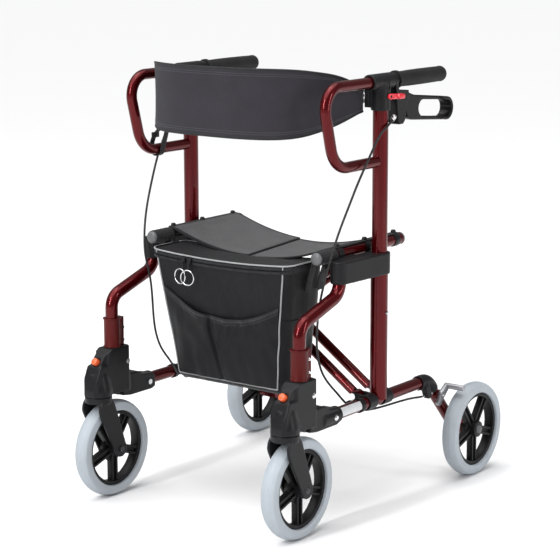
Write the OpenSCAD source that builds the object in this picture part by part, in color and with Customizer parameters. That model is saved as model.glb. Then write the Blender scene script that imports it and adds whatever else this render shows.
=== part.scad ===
// Folding rollator walker: two side frames joined by an X brace, with a sling seat,
// a bag, a backrest band, hand brakes, two swivel casters and two braked rear wheels.
// Front is -Y, the user's left side is +X, Z = 0 is the ground under the wheels.

/* [Side frames] */
// Distance from the centre plane to each upright
side_x = 240; // [236:1:244]
// Place of the uprights along the walker
upright_y = -9; // [-12:1:-6]
// Outer radius of the fixed lower tube of the upright
outer_tube_r = 17.5; // [17:0.1:18]
// Outer radius of the sliding upper tube of the upright
inner_tube_r = 15.5; // [15:0.1:15.6]
// Height of the lower side rail's axis
rail_z = 220; // [216:1:224]
// Outer radius of the lower side rail
rail_r = 12.5; // [12:0.1:13]
// Wall thickness of the metal tubes
tube_wall = 1.6; // [1.2:0.1:2]

/* [Front legs] */
// Distance from the centre plane to each front leg
leg_x = 236; // [234:1:238]
// Place of the upper end of the front leg
leg_top_y = -141; // [-145:1:-138]
// Place of the lower end of the front leg
leg_foot_y = -273; // [-276:1:-270]
// Outer radius of the front leg tube
leg_r = 13; // [12.5:0.1:13.5]

/* [Seat and brace] */
// Distance from the centre plane to each lower brace pivot
pivot_x = 212; // [210:1:214]
// Height of the lower brace pivots
pivot_z = 230; // [228:1:232]
// Distance from the centre plane to each seat rail
seat_rail_x = 207; // [205:1:208]
// Height of the seat rails
seat_rail_z = 526; // [522:1:530]
// Outer radius of the seat rails
seat_rail_r = 12; // [11:0.5:12]
// Outer radius of the brace tubes
brace_r = 9.5; // [9:0.1:9.5]

/* [Handles] */
// Height of the grips and of the top of the arm loops
grip_z = 856; // [850:1:860]
// Height of the lower run of the arm loops
loop_low_z = 700; // [696:1:704]
// Outer radius of the arm loop tube
loop_r = 11; // [10.5:0.1:11.2]
// Radius of the hand grips
grip_r = 16; // [15:0.5:16]
// Rear end of the hand grips
grip_end_y = 210; // [205:1:214]

/* [Wheels] */
// Radius of all four tyres
wheel_r = 100; // [98:1:101]
// Width of all four tyres
tyre_w = 33; // [30:1:34]
// Place of the caster wheel axles
caster_y = -280; // [-281:1:-279]
// Place of the caster swivel axes
swivel_y = -318; // [-320:1:-316]
// Place of the rear axles
rear_y = 280; // [278:1:282]
// Distance from the centre plane to the middle of each rear wheel
rear_x = 287; // [286:1:289]

/* [Soft parts] */
// Width of the bag
bag_w = 350; // [330:5:356]
// Depth of the bag from front to back
bag_d = 116; // [100:2:120]
// Height of the bag
bag_h = 272; // [240:2:280]
// Height of the backrest band at the front
band_h = 134; // [120:2:136]

/* [Hidden] */

$fn = 64;
fit = 0.05;                    // radial play of every running fit
gap = 0.3;                     // play between parts that pass each other
joint_lap = 0.4;               // how far straight runs reach into the bends of a tube
joint_step = 0.1;              // how much thinner a bend is than its straight runs
red = [0.42, 0.04, 0.07];
black = [0.13, 0.13, 0.14];
chrome = [0.8, 0.8, 0.82];

// Joints of the tubes
clamp_z = 476;                 // underside of the seat clamp
clamp_h = 44;
housing_top_z = 311;
seam_z = 216.6;                // underside of the caster housing
sleeve_h = 60;
elbow_y = 170;                 // corner of the rail and the rear leg
brace_front_y = -44;
brace_gap_y = 54;              // from the front brace tube to the rear one
brace_step_y = 20;             // brace B lies this far behind brace A
seat_rail_front_y = -179;
seat_rail_rear_y = 115;
lever_pivot = [58, 828];       // Y and Z of the brake lever's pin
brake_pivot = [202, 186];      // Y and Z of the brake arm's pin
shoe = [221, 201];             // Y and Z of the brake bar
brake_bolt_end = side_x + 24;
button_z = 398;
stem_r = 8;
axle_r = 4;
rim_r = 78;
head_rear_y = 23;
bag_front_y = -219;
bag_side_taper = 36;           // how much narrower each side of the bag is at the bottom
bag_front_taper = 28;
bag_top_z = 516;
band_front_y = -252;
band_x = 213;
band_t = 3;

// ---- helpers ----

function unit(v) = v / norm(v);

// Places a left-hand piece on the left, or mirrored on the right
module side(s) {
    if (s > 0) children();
    else mirror([1, 0, 0]) children();
}

module ring2d(r, w) {
    difference() {
        circle(r);
        circle(r - w);
    }
}

// A round bar along +X
module bar_x(x0, x1, y, z, r) {
    translate([x0, y, z]) rotate([0, 90, 0]) cylinder(h = x1 - x0, r = r);
}

// A round bar along +Y
module bar_y(y0, y1, x, z, r) {
    translate([x, y0, z]) rotate([-90, 0, 0]) cylinder(h = y1 - y0, r = r);
}

module bar_z(z0, z1, x, y, r) {
    translate([x, y, z0]) cylinder(h = z1 - z0, r = r);
}

// Extrudes a Y-Z outline between two X planes
module slab_x(x0, x1) {
    translate([x0, 0, 0]) rotate([90, 0, 90]) linear_extrude(x1 - x0) children();
}

// Extrudes an X-Z outline between two Y planes
module slab_y(y0, y1) {
    translate([0, y1, 0]) rotate([90, 0, 0]) linear_extrude(y1 - y0) children();
}

// Two circles and the band between their outer tangents
module strap2d(a, ra, b, rb) {
    d = norm(b - a);
    turn = atan2(b[1] - a[1], b[0] - a[0]);
    open = acos((ra - rb) / d);
    translate(a) circle(ra);
    translate(b) circle(rb);
    polygon([
        a + ra * [cos(turn + open), sin(turn + open)],
        a + ra * [cos(turn - open), sin(turn - open)],
        b + rb * [cos(turn - open), sin(turn - open)],
        b + rb * [cos(turn + open), sin(turn + open)]]);
}

// A round bar in the Y-Z plane
module straight_bar(a, b, r) {
    translate([0, a[0], a[1]])
        rotate([-atan2(b[0] - a[0], b[1] - a[1]), 0, 0])
            cylinder(h = norm(b - a), r = r);
}

// A round bar in the Y-Z plane through corners p, rounded with the radii in bend.
// Each straight run reaches a little way into the bends, which are a hair thinner.
module bent_bar(p, bend, r) {
    n = len(p);
    cut = [for (i = [0:n - 1]) i == 0 || i == n - 1 ? 0
        : bend[i] / tan(acos(unit(p[i - 1] - p[i]) * unit(p[i + 1] - p[i])) / 2) - joint_lap];
    for (i = [0:n - 2]) {
        dir = unit(p[i + 1] - p[i]);
        straight_bar(p[i] + dir * cut[i], p[i + 1] - dir * cut[i + 1], r);
    }
    for (i = [1:n - 2]) {
        u = unit(p[i - 1] - p[i]);
        v = unit(p[i + 1] - p[i]);
        half = acos(u * v) / 2;
        centre = p[i] + unit(u + v) * bend[i] / sin(half);
        from = p[i] + u * (cut[i] + joint_lap) - centre;
        to = p[i] + v * (cut[i] + joint_lap) - centre;
        first = cross(from, to) > 0 ? from : to;
        translate([0, centre[0], centre[1]])
            rotate([atan2(first[0], -first[1]), 0, 0])
                rotate([0, 90, 0])
                    rotate_extrude(angle = 180 - 2 * half)
                        translate([bend[i], 0]) circle(r - joint_step);
    }
}

// A tube in the Y-Z plane, open at both ends
module bent_tube(p, bend, r, w) {
    n = len(p);
    first = p[0] - unit(p[1] - p[0]);
    last = p[n - 1] + unit(p[n - 1] - p[n - 2]);
    inner = [for (i = [0:n - 1]) i == 0 ? first : i == n - 1 ? last : p[i]];
    difference() {
        bent_bar(p, bend, r);
        bent_bar(inner, bend, r - w);
    }
}

// A thin cable along points p, with eight sides
module swept_cable(p, r) {
    n = len(p);
    sides = 8;
    tangent = [for (i = [0:n - 1]) unit(p[min(i + 1, n - 1)] - p[max(i - 1, 0)])];
    rings = [for (i = [0:n - 1])
        let (a = unit(cross(tangent[i], [1, 0.1, 0])), b = cross(tangent[i], a))
            for (k = [0:sides - 1])
                p[i] + r * (cos(k * 360 / sides) * a + sin(k * 360 / sides) * b)];
    walls = [for (i = [0:n - 2]) for (k = [0:sides - 1])
        let (m = (k + 1) % sides)
            [i * sides + k, (i + 1) * sides + k, (i + 1) * sides + m, i * sides + m]];
    first = [for (k = [0:sides - 1]) k];
    last = [for (k = [sides - 1:-1:0]) (n - 1) * sides + k];
    polyhedron(points = rings, faces = concat([first], walls, [last]), convexity = 4);
}

// ---- side frame ----

module side_frame() {
    color(red) {
        difference() {
            union() {
                bar_z(rail_z, clamp_z + clamp_h - 4, side_x, upright_y, outer_tube_r);
                bar_y(leg_foot_y + 100, elbow_y - 30, side_x, rail_z, rail_r);
            }
            bar_z(rail_z + rail_r, clamp_z + clamp_h, side_x, upright_y, inner_tube_r + fit);
            bar_y(leg_foot_y + 99, upright_y - 22, side_x, rail_z, rail_r - tube_wall);
            bar_y(upright_y + 22, elbow_y - 29, side_x, rail_z, rail_r - tube_wall);
            bar_x(side_x + 8, side_x + 25, upright_y, button_z, 3.7);
        }
    }
}

module rear_leg() {
    foot = [rear_y, wheel_r];
    corner = [elbow_y, rail_z];
    corners = [[elbow_y - 30, rail_z], corner, foot - 6 * unit(foot - corner)];
    color(red) difference() {
        union() {
            translate([side_x, 0, 0]) bent_tube(corners, [0, 40, 0], rail_r, tube_wall);
            bar_x(side_x - 14, rear_x - tyre_w / 2 - 1, foot[0], foot[1], 16);
            slab_x(side_x + 11.6, side_x + 14.5) strap2d([194, 184], 9, brake_pivot, 9);
        }
        bar_x(side_x - 15, rear_x, foot[0], foot[1], axle_r);
        bar_x(side_x + 6, side_x + 15, brake_pivot[0], brake_pivot[1], 3);
    }
}

module rail_elbow() {
    corner = [elbow_y, rail_z];
    slope = unit([rear_y, wheel_r] - corner);
    corners = [[elbow_y - 34, rail_z], corner, corner + 29.4 * slope];
    color(black) {
        translate([side_x, 0, 0]) bent_tube(corners, [0, 40, 0], rail_r + 3, 3 - fit);
        difference() {
            slab_x(side_x + 5, side_x + 19)
                strap2d([elbow_y - 20, rail_z - 10], 8, [elbow_y - 14, rail_z - 26], 8);
            bar_y(elbow_y - 40, elbow_y + 1, side_x, rail_z, rail_r + 1);
            translate([side_x + 12, elbow_y - 30, rail_z - 26])
                rotate([-90, 0, 0]) cylinder(h = 40, r = 2.6);
        }
    }
}

module front_leg() {
    corners = [[leg_top_y, clamp_z + clamp_h - 6], [leg_top_y, 456],
        [leg_foot_y, 414], [leg_foot_y, 262]];
    color(red) translate([leg_x, 0, 0]) bent_tube(corners, [0, 32, 32, 0], leg_r, tube_wall);
}

// Telescopic sleeve with a thin flange at each end and two ears for its pins
module leg_sleeve() {
    top = housing_top_z + sleeve_h;
    color([0.36, 0.05, 0.07]) difference() {
        union() {
            bar_z(housing_top_z + gap, top, leg_x, leg_foot_y, 16.5);
            bar_z(top - 2, top, leg_x, leg_foot_y, 18.5);
            bar_z(housing_top_z + gap, housing_top_z + 2.5, leg_x, leg_foot_y, 18);
            translate([leg_x - 10, leg_foot_y + 10, housing_top_z + gap])
                cube([20, 15, sleeve_h - gap]);
        }
        bar_z(housing_top_z - 1, top + 1, leg_x, leg_foot_y, leg_r);
        for (z = [12, 38])
            bar_x(leg_x - 11, leg_x + 11, leg_foot_y + 20, housing_top_z + z, 2);
    }
}

module clamp_outline() {
    strap2d([leg_x, leg_top_y], 18, [side_x, upright_y], 21.5);
}

module seat_clamp() {
    color(black) difference() {
        union() {
            translate([0, 0, clamp_z]) linear_extrude(clamp_h) clamp_outline();
            translate([seat_rail_x - 17, -128, clamp_z + 22]) cube([30, 60, 26]);
        }
        bar_z(clamp_z - 1, clamp_z + clamp_h - 4, side_x, upright_y, outer_tube_r);
        bar_z(clamp_z - 1, clamp_z + clamp_h + 1, side_x, upright_y, inner_tube_r + gap);
        bar_z(clamp_z - 1, clamp_z + clamp_h - 6, leg_x, leg_top_y, leg_r);
        bar_y(seat_rail_front_y, seat_rail_rear_y, seat_rail_x, seat_rail_z, seat_rail_r + gap);
        translate([seat_rail_x - seat_rail_r - gap, -200, seat_rail_z])
            cube([2 * (seat_rail_r + gap), 350, 40]);
    }
}

// Side outline of the caster housing: sloping nose, leg socket and rear arm
module housing_outline() {
    polygon([[-294, housing_top_z], [-312, 299], [-330, 277], [-342, 250], [-346, 232],
        [-346, seam_z], [-290, seam_z], [-262, 207], [-235, 203], [-170, 203], [-158, 208],
        [-154, 220], [-158, 232], [-170, 237], [-196, 240], [-216, 251], [-230, 270],
        [-236, 290], [-238, housing_top_z]]);
}

module caster_housing() {
    color(black) difference() {
        union() {
            intersection() {
                slab_x(leg_x - 19, leg_x + 19) housing_outline();
                union() {
                    bar_z(seam_z, housing_top_z, leg_x, leg_foot_y, 36);
                    translate([leg_x - 17, -160, 190]) mirror([0, 1, 0]) cube([34, 100, 60]);
                    translate([leg_x - 14, -360, 200]) cube([28, 90, 120]);
                    bar_z(seam_z, 280, leg_x, swivel_y, 29);
                }
            }
            bar_z(seam_z, seam_z + 12, leg_x, swivel_y, 28.5);
            translate([leg_x, swivel_y, seam_z + 12]) cylinder(h = 34, r1 = 28.5, r2 = 20);
            bar_y(-215, -155, side_x, rail_z, rail_r + 4.5);
            bar_z(270, housing_top_z, leg_x, leg_foot_y, 19);
        }
        bar_z(262, housing_top_z + 1, leg_x, leg_foot_y, leg_r);
        bar_y(leg_foot_y + 100, -150, side_x, rail_z, rail_r);
        bar_z(seam_z - 1, seam_z + 52, leg_x, swivel_y, stem_r + fit);
        translate([leg_x, -323, 287]) rotate([59, 0, 0])
            translate([0, 0, -12]) cylinder(h = 30, r = 8.4);
        bar_x(leg_x - 25, leg_x + 25, -250, 279, 3);
        bar_x(leg_x - 25, leg_x + 30, -179, rail_z, 3);
    }
}

// Push button in the nose of the housing that frees the swivel lock
module caster_button() {
    color([0.86, 0.32, 0.12]) translate([leg_x, -323, 287]) rotate([59, 0, 0]) {
        translate([0, 0, -7]) cylinder(h = 14, r = 8);
        translate([0, 0, 7]) cylinder(h = 2, r1 = 8, r2 = 6);
    }
}

// Bolt along X with a domed head at its outer end
module bolt_x(x0, x1, y, z, r, head_r) {
    bar_x(x0, x1, y, z, r);
    translate([x1, y, z]) rotate([0, 90, 0]) cylinder(h = 2.4, r1 = head_r, r2 = head_r * 0.6);
    translate([x0 - 3, y, z]) rotate([0, 90, 0]) cylinder(h = 3, r = head_r, $fn = 6);
}

// Bolt along Y through one brace joint
module bolt_y(y0, y1, x, z, r, head_r) {
    bar_y(y0, y1, x, z, r);
    bar_y(y0 - 2.5, y0, x, z, head_r);
    bar_y(y1, y1 + 2.5, x, z, head_r);
}

// The hinge pins of the brace, the housing bolts, the sleeve pins and the wheel axle
module frame_bolts(first_y) {
    color(chrome) {
        bolt_x(leg_x - 19, leg_x + 19, -250, 279, 3, 6);
        bolt_x(leg_x - 17, side_x + rail_r + 4.5, -179, rail_z, 3, 6);
        for (z = [12, 38])
            bolt_x(leg_x - 10, leg_x + 10, leg_foot_y + 20, housing_top_z + z, 2, 3.6);
        for (y = [first_y, first_y + brace_gap_y])
            bolt_y(y - 14.5, y + 14.5, pivot_x, pivot_z, 4, 6.5);
        bolt_x(side_x - 14, rear_x + 17, rear_y, wheel_r, axle_r, 7.5);
        bolt_x(side_x + 9.5, brake_bolt_end, brake_pivot[0], brake_pivot[1], 3, 5);
    }
}

// Clevises that carry the brace on the lower rail, and the clip that holds the cable
module pivot_lugs(first_y) {
    color(black) difference() {
        union() {
            for (y = [first_y, first_y + brace_gap_y]) {
                bar_y(y - 14.2, y + 14.2, side_x, rail_z, rail_r + 3);
                for (s = [-1, 1])
                    translate([0, y + s * 12, 0])
                        slab_y(-2.2, 2.2) strap2d([side_x, rail_z], rail_r + 3, [pivot_x, pivot_z], 8);
            }
            bar_y(-84, -72, side_x, rail_z, rail_r + 2.5);
            translate([side_x - 27, -84, rail_z - 4]) cube([14, 12, 10]);
        }
        bar_y(-90, 90, side_x, rail_z, rail_r);
        bar_y(-90, 90, pivot_x, pivot_z, 4);
        bar_y(-90, -70, side_x - 21, rail_z + 1, 3);
        bar_z(rail_z, 300, side_x, upright_y, outer_tube_r);
    }
}

module height_button() {
    color(chrome) {
        bar_x(side_x + outer_tube_r + 0.2, side_x + outer_tube_r + 3, upright_y, button_z, 3.6);
        translate([side_x + outer_tube_r + 3, upright_y, button_z])
            rotate([0, 90, 0]) cylinder(h = 1.6, r1 = 3.6, r2 = 2.2);
    }
}

// ---- handle ----

module handle_tube() {
    color(red) difference() {
        bar_z(310, grip_z - loop_r - 2, side_x, upright_y, inner_tube_r);
        bar_z(309, grip_z - loop_r - 6, side_x, upright_y, inner_tube_r - tube_wall);
    }
}

module arm_loop() {
    corners = [[upright_y - inner_tube_r, loop_low_z], [-166, loop_low_z], [-208, grip_z],
        [grip_end_y - 6, grip_z]];
    color(red) translate([side_x, 0, 0]) bent_tube(corners, [0, 55, 42, 0], loop_r, tube_wall);
}

// Casting that joins the upright to the loop tube
module handle_head() {
    color(black) difference() {
        union() {
            bar_z(800, grip_z, side_x, upright_y, 19.5);
            bar_y(-50, head_rear_y, side_x, grip_z, 16);
            translate([side_x - 24, upright_y - 22, 806]) cube([12, 30, 46]);
            bar_x(side_x + 10, side_x + 20.5, upright_y, 845, 6);
            bar_x(side_x + 17, side_x + 27, -10, 828, 2.5);
        }
        bar_z(799, grip_z - loop_r - 2, side_x, upright_y, inner_tube_r);
        bar_y(-51, head_rear_y + 1, side_x, grip_z, loop_r);
        bar_x(side_x + 17, side_x + 22, upright_y, 845, 3);
    }
}

module grip() {
    color(black) difference() {
        union() {
            bar_y(44, grip_end_y - 4, side_x, grip_z, grip_r);
            bar_y(grip_end_y - 4, grip_end_y, side_x, grip_z, grip_r - 2);
            bar_y(38, 46, side_x, grip_z, grip_r + 2);
        }
        bar_y(37, grip_end_y - 6, side_x, grip_z, loop_r);
    }
}

// Body of the hand brake, clamped to the tube between head and grip
module lever_housing() {
    color(black) difference() {
        union() {
            bar_y(head_rear_y + 1, 37, side_x, grip_z, 15);
            slab_x(side_x - 13, side_x + 13) polygon([[head_rear_y + 1, grip_z], [37, grip_z],
                [37, grip_z - grip_r - 2.5], [72, 834], [74, 822], [64, 800], [60, 776], [52, 768], [40, 768], [34, 776]]);
        }
        bar_y(head_rear_y, 38, side_x, grip_z, loop_r);
        slab_x(side_x - 8.4, side_x + 8.4) polygon([[46, 837], [90, 837], [90, 760], [44, 760],
            [44, 800]]);
        bar_x(side_x - 14, side_x + 14, lever_pivot[0], lever_pivot[1], 3);
        translate([side_x + 10, 26, 784]) rotate([60, 0, 0]) cylinder(h = 14, r = 3.2, center = true);
    }
    color(chrome) bar_x(side_x - 13, side_x + 13, lever_pivot[0], lever_pivot[1], 3);
}

// Brake lever with its closed finger loop
module brake_lever() {
    color(black) difference() {
        union() {
            slab_x(side_x - 8, side_x + 8) {
                strap2d(lever_pivot, 7, [96, 797], 25);
                strap2d([96, 797], 25, [214, 786], 24);
            }
            slab_x(side_x - 15, side_x + 15) intersection() {
                translate([214, 786]) circle(24);
                translate([200, 750]) square([60, 60]);
            }
        }
        slab_x(side_x - 20, side_x + 20) strap2d([134, 793], 16.5, [214, 786], 17);
        bar_x(side_x - 14, side_x + 14, lever_pivot[0], lever_pivot[1], 3 + fit);
        slab_x(side_x + 8, side_x + 20) translate([150, 750]) square([50, 70]);
    }
}

module lock_latch() {
    color([0.85, 0.12, 0.14]) difference() {
        slab_x(side_x + 20, side_x + 26) strap2d([-10, 828], 5.5, [26, 826], 5);
        bar_x(side_x + 19, side_x + 27, -10, 828, 2.5 + fit);
    }
    color([0.85, 0.12, 0.14]) slab_x(side_x + 24, side_x + 30) strap2d([16, 826.5], 5, [28, 826], 5);
}

cable_route = [[254, 20, 788], [257, 8, 780], [260.5, -12, 772], [262, -30, 765], [262, -46, 755],
    [261, -60, 738], [259, -76, 715], [257, -94, 690], [253, -112, 660], [249, -130, 625],
    [244, -148, 590], [239, -162, 555], [234, -171, 522], [228, -177, 490], [221, -177, 466],
    [214, -176, 440], [209, -177, 400], [207, -177, 355], [207, -170, 320], [208, -154, 288],
    [210, -128, 262], [213, -112, 246], [216, -99, 231], [218.5, -91, 223], [219, -86, 221],
    [219, -78, 221], [219, -70, 221], [221, -64, 214], [225, -57, 204], [232, -38, 199.5],
    [240, 0, 199], [244, 50, 199], [248, 100, 198], [252, 128, 194.5], [252, 139.5, 194]];

module brake_cable() {
    color([0.08, 0.08, 0.09]) swept_cable(cable_route, 2.5);
}

// ---- rear brake ----

module brake_arm() {
    x0 = side_x + 14.8;
    color([0.5, 0.5, 0.52]) difference() {
        union() {
            slab_x(x0, x0 + 8) strap2d(brake_pivot, 8, shoe, 6);
            slab_x(x0, x0 + 8) strap2d(brake_pivot, 8, [190, 170], 6);
            bar_x(x0, rear_x + tyre_w / 2 - 2, shoe[0], shoe[1], 6);
        }
        bar_x(x0 - 1, x0 + 9, brake_pivot[0], brake_pivot[1], 3 + fit);
    }
}

// Chrome barrel adjuster and the return spring around it
module brake_spring() {
    color(chrome) {
        translate([side_x + 12, elbow_y - 30, rail_z - 26]) rotate([-90, 0, 0]) cylinder(h = 14, r = 2.55);
        translate([side_x + 12, elbow_y - 5, rail_z - 26]) rotate([-90, 0, 0]) difference() {
            cylinder(h = 6, r = 4.4);
            translate([0, 0, -1]) cylinder(h = 8, r = 3.2);
        }
    }
}

// ---- casters ----

module caster_fork() {
    inner = tyre_w / 2 + 3.5;
    color(black) difference() {
        union() {
            bar_z(seam_z - 13, seam_z - gap, leg_x, swivel_y, 28);
            bar_z(seam_z - 1, seam_z + 50, leg_x, swivel_y, stem_r);
            for (s = [-1, 1])
                translate([leg_x + s * (inner + 3), 0, 0])
                    slab_x(-3, 3) strap2d([swivel_y, 190], 23, [caster_y, wheel_r], 17);
        }
        bar_x(leg_x - 30, leg_x + 30, caster_y, wheel_r, axle_r);
        translate([leg_x - 40, -370, seam_z - gap]) difference() {
            cube([80, 110, 10]);
            translate([40, 370 + swivel_y, -1]) cylinder(h = 12, r = stem_r);
        }
    }
}

module caster_axle() {
    reach = tyre_w / 2 + 9.5;
    color(chrome) bolt_x(leg_x - reach, leg_x + reach, caster_y, wheel_r, axle_r, 7);
}

// Five-spoked rim along X with its hub
module rim(x, y, hub_w) {
    color(black) translate([x, y, wheel_r]) rotate([0, 90, 0]) difference() {
        union() {
            translate([0, 0, -11]) rotate_extrude() translate([rim_r - 8, 0]) square([8, 22]);
            cylinder(h = hub_w, r = 17, center = true);
            cylinder(h = 4, r = 30, center = true);
            for (k = [0:4]) rotate([0, 0, 72 * k]) {
                translate([8, -9, -7]) cube([64, 5, 14]);
                translate([8, 4, -7]) cube([64, 5, 14]);
                translate([8, -5, -1.5]) cube([64, 10, 3]);
            }
        }
        cylinder(h = hub_w + 2, r = axle_r + fit, center = true);
    }
}

// Solid tyre with a crowned tread
module tyre(x, y) {
    half = tyre_w / 2;
    color([0.62, 0.66, 0.7]) translate([x, y, wheel_r]) rotate([0, 90, 0])
        rotate_extrude($fn = 96) intersection() {
            translate([rim_r, -half]) square([wheel_r - rim_r, tyre_w]);
            translate([wheel_r - 25, 0]) circle(25);
        }
}

// ---- folding brace ----

// Brace with two tubes from the lower pivots on side s to the seat rail on the other side
module brace(s, first_y) {
    span = pivot_x + seat_rail_x;
    rise = seat_rail_z - pivot_z;
    tilt = atan2(rise, span);
    length = norm([span, rise]);
    color(red) side(s) difference() {
        union() {
            for (y = [first_y, first_y + brace_gap_y])
                translate([pivot_x, y, pivot_z]) rotate([0, tilt - 90, 0])
                    translate([0, 0, 10]) linear_extrude(length - 10) ring2d(brace_r, 1.5);
            bar_y(seat_rail_front_y, seat_rail_rear_y, -seat_rail_x, seat_rail_z, seat_rail_r);
            for (y = [first_y, first_y + brace_gap_y])
                bar_y(y - 9.5, y + 9.5, pivot_x, pivot_z, 11);
        }
        bar_y(seat_rail_front_y - 1, seat_rail_rear_y + 1, -seat_rail_x, seat_rail_z,
            seat_rail_r - tube_wall);
        for (y = [first_y, first_y + brace_gap_y]) {
            bar_y(y - 12, y + 12, pivot_x, pivot_z, 4 + fit);
            bar_y(y - 12, y + 12, 0, pivot_z + pivot_x * tan(tilt), 4 + fit);
        }
    }
}

// The two bolts on which the braces cross
module brace_bolts() {
    z = pivot_z + pivot_x * (seat_rail_z - pivot_z) / (pivot_x + seat_rail_x);
    color(chrome) for (y = [brace_front_y, brace_front_y + brace_gap_y])
        bolt_y(y - brace_r - 1, y + brace_step_y + brace_r + 1, 0, z, 4, 7);
}

// ---- soft parts ----

function sling_z(x) = seat_rail_z - 27 + 33 * pow(x / 182, 2);

module seat_sling() {
    steps = 16;
    half = seat_rail_x - seat_rail_r - 2;
    top = [for (i = [0:steps]) let (x = -half + 2 * half * i / steps) [x, sling_z(x) + 2]];
    low = [for (i = [steps:-1:0]) let (x = -half + 2 * half * i / steps) [x, sling_z(x) - 2]];
    color([0.4, 0.4, 0.42]) slab_y(-118, 98) polygon(concat(top, low));
}

// Bag outline in plan, with round front corners; taper is 0 at the top and 1 at the bottom
module bag_plan(inset, taper = 0) {
    w = bag_w / 2 - inset - bag_side_taper * taper;
    r = 22 - inset;
    front = bag_front_y + inset + bag_front_taper * taper;
    back = bag_front_y + bag_d - inset;
    for (s = [-1, 1]) translate([s * (w - r), front + r]) circle(r);
    translate([-w + r, front]) square([2 * (w - r), 2 * r]);
    translate([-w, front + r]) square([2 * w, back - front - r]);
}

// Solid body of the bag between two heights
module bag_loft(inset, low, high) {
    share = (bag_top_z - low) / bag_h;
    hull() {
        translate([0, 0, high - 0.01]) linear_extrude(0.01) bag_plan(inset, 0);
        translate([0, 0, low]) linear_extrude(0.01) bag_plan(inset, share);
    }
}

module storage_bag() {
    floor_z = bag_top_z - bag_h;
    color([0.1, 0.1, 0.11]) difference() {
        bag_loft(0, floor_z, bag_top_z);
        bag_loft(4, floor_z + 4, bag_top_z + 1);
        slab_x(-bag_w, bag_w) polygon([[bag_front_y + 74, bag_top_z + 1],
            [bag_front_y + 86, bag_top_z - 24], [0, bag_top_z - 28], [0, bag_top_z + 1]]);
    }
    bag_lid();
}

// Lid that closes the bag; it slopes down under the seat
module bag_lid() {
    front = bag_front_y + 4;
    rear = bag_front_y + bag_d - 4;
    color([0.12, 0.12, 0.13]) intersection() {
        bag_loft(4.2, bag_top_z - bag_h + 4, bag_top_z + 1);
        slab_x(-bag_w, bag_w) polygon([[front - 1, bag_top_z - 6], [bag_front_y + 70, bag_top_z - 6],
            [bag_front_y + 82, bag_top_z - 25], [rear + 1, bag_top_z - 29], [rear + 1, bag_top_z - 31],
            [bag_front_y + 80.5, bag_top_z - 27], [bag_front_y + 68.7, bag_top_z - 8],
            [front - 1, bag_top_z - 8]]);
    }
}

// Plan curve of the band: a flattened arc between the two handle heads
function band_point(a, t) = let (c = cos(a), s = sin(a), e = 2 / 3)
    [(band_x - t) * sign(c) * pow(abs(c), e), -30 + (band_front_y + 30 + t) * pow(s, e)];

module backrest_band() {
    steps = 36;
    outer = [for (i = [0:steps]) band_point(180 * i / steps, 0)];
    inner = [for (i = [steps:-1:0]) band_point(180 * i / steps, band_t)];
    mid = 823;
    color([0.24, 0.23, 0.27]) intersection() {
        translate([0, 0, 740]) linear_extrude(160) polygon(concat(outer, inner));
        slab_x(-250, 250) polygon([[-28, mid + 22], [-110, mid + 50], [-190, mid + band_h / 2],
            [-260, mid + band_h / 2], [-260, mid - band_h / 2], [-200, mid - band_h / 2],
            [-110, mid - 44], [-28, mid - 24]]);
    }
}

side_frame();  // left_side_frame
side(-1) side_frame();  // right_side_frame
rear_leg();  // left_rear_leg
side(-1) rear_leg();  // right_rear_leg
rail_elbow();  // left_rail_elbow
side(-1) rail_elbow();  // right_rail_elbow
front_leg();  // left_front_leg
side(-1) front_leg();  // right_front_leg
leg_sleeve();  // left_leg_sleeve
side(-1) leg_sleeve();  // right_leg_sleeve
seat_clamp();  // left_seat_clamp
side(-1) seat_clamp();  // right_seat_clamp
caster_housing();  // left_caster_housing
side(-1) caster_housing();  // right_caster_housing
frame_bolts(brace_front_y);  // left_frame_bolts
side(-1) frame_bolts(brace_front_y + brace_step_y);  // right_frame_bolts
pivot_lugs(brace_front_y);  // left_pivot_lugs
side(-1) pivot_lugs(brace_front_y + brace_step_y);  // right_pivot_lugs
caster_button();  // left_caster_button
side(-1) caster_button();  // right_caster_button
height_button();  // left_height_button
side(-1) height_button();  // right_height_button
handle_tube();  // left_handle_tube
side(-1) handle_tube();  // right_handle_tube
arm_loop();  // left_arm_loop
side(-1) arm_loop();  // right_arm_loop
handle_head();  // left_handle_head
side(-1) handle_head();  // right_handle_head
grip();  // left_grip
side(-1) grip();  // right_grip
lever_housing();  // left_lever_housing
side(-1) lever_housing();  // right_lever_housing
brake_lever();  // left_brake_lever
side(-1) brake_lever();  // right_brake_lever
lock_latch();  // left_lock_latch
side(-1) lock_latch();  // right_lock_latch
brake_cable();  // left_brake_cable
side(-1) brake_cable();  // right_brake_cable
brake_arm();  // left_brake_arm
side(-1) brake_arm();  // right_brake_arm
brake_spring();  // left_brake_spring
side(-1) brake_spring();  // right_brake_spring
caster_fork();  // left_caster_fork
side(-1) caster_fork();  // right_caster_fork
caster_axle();  // left_caster_axle
side(-1) caster_axle();  // right_caster_axle
rim(leg_x, caster_y, tyre_w + 5);  // left_caster_rim
side(-1) rim(leg_x, caster_y, tyre_w + 5);  // right_caster_rim
tyre(leg_x, caster_y);  // left_caster_tyre
side(-1) tyre(leg_x, caster_y);  // right_caster_tyre
rim(rear_x, rear_y, tyre_w);  // left_rear_rim
side(-1) rim(rear_x, rear_y, tyre_w);  // right_rear_rim
tyre(rear_x, rear_y);  // left_rear_tyre
side(-1) tyre(rear_x, rear_y);  // right_rear_tyre
brace(1, brace_front_y);  // brace_a
brace(-1, brace_front_y + brace_step_y);  // brace_b
brace_bolts();
seat_sling();
storage_bag();
backrest_band();
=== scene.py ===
import math

import bpy
from mathutils import Matrix, Vector, noise


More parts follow.
